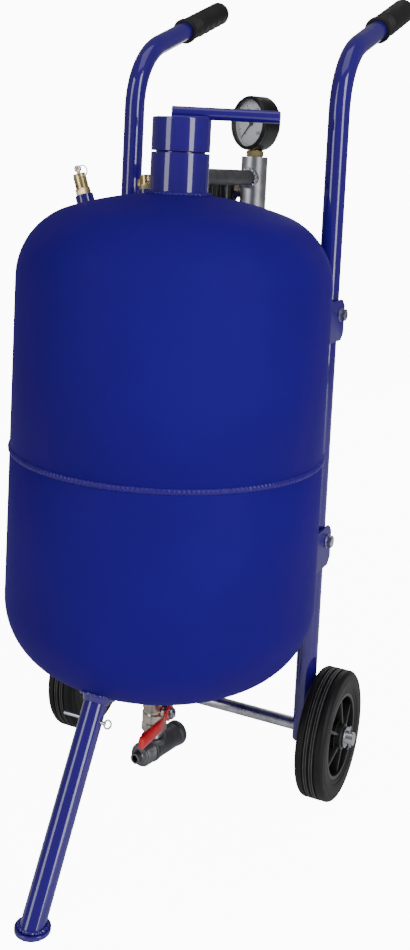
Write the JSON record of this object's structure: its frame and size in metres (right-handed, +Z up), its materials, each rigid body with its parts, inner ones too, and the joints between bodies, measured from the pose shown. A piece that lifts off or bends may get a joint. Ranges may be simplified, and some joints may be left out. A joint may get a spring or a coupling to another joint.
{
  "type": "pressure pot abrasive blaster",
  "caption": "Upright pressure tank on a two-wheeled handle frame with a folded-back pair of handles, front leg, screw cap filler, gauge manifold and a ball valve over a mixing tee.",
  "frame": {"origin": "on the floor, at the middle of the footprint's bounding box", "axes": "+Z up; -Y towards the front leg and the nozzle; +X towards the outlet valve's lever; the axle lies along X"},
  "size_m": [0.3966, 0.6352, 0.9745],
  "materials": {
    "blue_paint": "gloss",
    "black_rubber": "matte",
    "tyre_rubber": "satin",
    "black_moulding": "satin",
    "zinc_plate": "satin",
    "manifold_steel": "polished",
    "grey_iron": "satin",
    "brass": "machined",
    "gauge_black": "semi-gloss",
    "dial_white": "matte",
    "gauge_glass": "polished",
    "nickel_plate": "satin",
    "smoked_bowl": "gloss",
    "filter_element": "matte",
    "white_ptfe": "matte",
    "chromed_ball": "polished",
    "red_vinyl": "gloss"
  },
  "bodies": {
    "tank_frame": {"upper_shell": "blue_paint", "lower_shell": "blue_paint", "weld_beads": "blue_paint", "fill_neck": "blue_paint", "bungs": "blue_paint", "outlet_bung": "blue_paint", "handle_tube_left": "blue_paint", "handle_tube_right": "blue_paint", "grips": "black_rubber", "tube_brackets": "blue_paint", "bracket_bolts": "zinc_plate", "axle": "zinc_plate", "axle_washers": "zinc_plate", "cotter_pins": "zinc_plate", "leg_socket": "blue_paint", "front_leg": "blue_paint", "foot_plate": "blue_paint", "manifold_tube": "manifold_steel", "manifold_bracket": "blue_paint", "manifold_outlet": "brass", "cross_pipe": "grey_iron", "gauge_socket": "brass", "gauge_case": "gauge_black", "gauge_bezel": "gauge_black", "gauge_dial": "dial_white", "gauge_lens": "gauge_glass", "bourdon_tube": "brass", "separator_nipple": "nickel_plate", "separator_head": "black_moulding", "separator_bowl": "smoked_bowl", "separator_element": "filter_element", "inlet_plug": "nickel_plate", "safety_body": "brass", "safety_bonnet": "brass", "vent_body": "brass", "valve_nipples": "zinc_plate", "valve_body": "nickel_plate", "valve_end": "nickel_plate", "valve_seats": "white_ptfe", "mixing_tee": "grey_iron", "hose_nipple": "grey_iron"},
    "wheel_left": {"tyre_left": "tyre_rubber", "rim_left": "black_moulding"},
    "wheel_right": {"tyre_right": "tyre_rubber", "rim_right": "black_moulding"},
    "cap_seal": {"cap_gasket": "black_rubber"},
    "cap": {"filler_cap": "blue_paint", "cap_handle": "blue_paint"},
    "locking_pin": {"leg_pin": "zinc_plate"},
    "pointer": {"gauge_pointer": "gauge_black"},
    "drain": {"drain_knob": "brass"},
    "relief_stem": {"safety_stem": "nickel_plate", "safety_spring": "zinc_plate"},
    "relief_ring": {"pull_ring": "zinc_plate"},
    "vent_plug": {"vent_key": "brass"},
    "lever": {"valve_ball": "chromed_ball", "valve_stem": "zinc_plate", "valve_lever": "red_vinyl", "lever_sleeve": "red_vinyl", "lever_nut": "zinc_plate"}
  },
  "joints": [
    {"name": "wheel_left_spin", "type": "hinge", "parent": "tank_frame", "child": "wheel_left", "pos_m": [-0.1674, 0.07604, 0.075], "axis": [1, 0, 0], "continuous": true},
    {"name": "wheel_right_spin", "type": "hinge", "parent": "tank_frame", "child": "wheel_right", "pos_m": [0.1674, 0.07604, 0.075], "axis": [1, 0, 0], "continuous": true},
    {"name": "cap_lift", "type": "slide", "parent": "tank_frame", "child": "cap_seal", "axis": [0, 0, 1], "range_m": [0, 0.0278]},
    {"name": "cap_turn", "type": "hinge", "parent": "cap_seal", "child": "cap", "pos_m": [0, -0.05816, 0.757], "axis": [0, 0, 1], "range_deg": [0, 4320]},
    {"name": "locking_pin_pull", "type": "slide", "parent": "tank_frame", "child": "locking_pin", "axis": [1, 0, 0], "range_m": [0, 0.047]},
    {"name": "pointer_swing", "type": "hinge", "parent": "tank_frame", "child": "pointer", "pos_m": [0, 0.15184, 0.8], "axis": [0.454, 0.891, 0], "range_deg": [0, 270], "stiffness_Nm_per_rad": 0.0005},
    {"name": "drain_turn", "type": "hinge", "parent": "tank_frame", "child": "drain", "pos_m": [-0.043, 0.15184, 0.635], "axis": [0, 0, 1], "range_deg": [0, 90]},
    {"name": "relief_lift", "type": "slide", "parent": "tank_frame", "child": "relief_stem", "axis": [-0.3189, 0, 0.9478], "range_m": [0, 0.003], "stiffness_N_per_m": 2000, "springref_m": -0.002},
    {"name": "ring_swing", "type": "hinge", "parent": "relief_stem", "child": "relief_ring", "pos_m": [-0.1314, -0.05816, 0.73349], "axis": [0, -1, 0], "range_deg": [0, 260]},
    {"name": "vent_turn", "type": "hinge", "parent": "tank_frame", "child": "vent_plug", "pos_m": [-0.07648, 0.00602, 0.72311], "axis": [-0.7409, 0.6217, -0.2541], "range_deg": [0, 90]},
    {"name": "lever_turn", "type": "hinge", "parent": "tank_frame", "child": "lever", "pos_m": [0, -0.05816, 0.1195], "axis": [1, 0, 0], "range_deg": [0, 90]}
  ],
  "couplings": [
    {"joint": "cap_lift", "follows": "cap_turn", "m_per_rad": 0.00036749}
  ]
}
